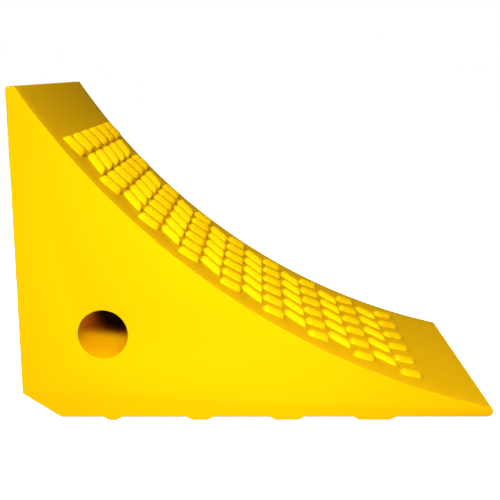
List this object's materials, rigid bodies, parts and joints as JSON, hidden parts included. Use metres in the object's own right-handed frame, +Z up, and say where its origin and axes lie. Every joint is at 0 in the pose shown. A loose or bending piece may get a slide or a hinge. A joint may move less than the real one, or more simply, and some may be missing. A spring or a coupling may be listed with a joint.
{
  "type": "wheel chock",
  "caption": "Cast polyurethane wheel chock with a curved, lugged tyre seat, a carrying bore through its heel and cross cleats under its sole.",
  "frame": {"origin": "on the ground, at the middle of the chock's outline", "axes": "+Z up, +X towards the thin toe that goes under the tyre, -X towards the tall heel, Y across the tyre's tread"},
  "size_m": [0.535, 0.356, 0.376],
  "materials": {
    "block_urethane": "matte cast polyurethane, safety yellow",
    "lug_urethane": "satin cast polyurethane, lemon yellow",
    "cleat_urethane": "matte cast polyurethane, safety yellow"
  },
  "bodies": {
    "root": {"chock_block": "block_urethane", "seat_lug_row_01": "lug_urethane", "seat_lug_row_02": "lug_urethane", "seat_lug_row_03": "lug_urethane", "seat_lug_row_04": "lug_urethane", "seat_lug_row_05": "lug_urethane", "seat_lug_row_06": "lug_urethane", "seat_lug_row_07": "lug_urethane", "seat_lug_row_08": "lug_urethane", "seat_lug_row_09": "lug_urethane", "seat_lug_row_10": "lug_urethane", "seat_lug_row_11": "lug_urethane", "seat_lug_row_12": "lug_urethane", "seat_lug_row_13": "lug_urethane", "seat_lug_row_14": "lug_urethane", "seat_lug_row_15": "lug_urethane", "seat_lug_row_16": "lug_urethane", "seat_lug_row_17": "lug_urethane", "ground_cleat_1": "cleat_urethane", "ground_cleat_2": "cleat_urethane", "ground_cleat_3": "cleat_urethane", "ground_cleat_4": "cleat_urethane"}
  },
  "joints": []
}
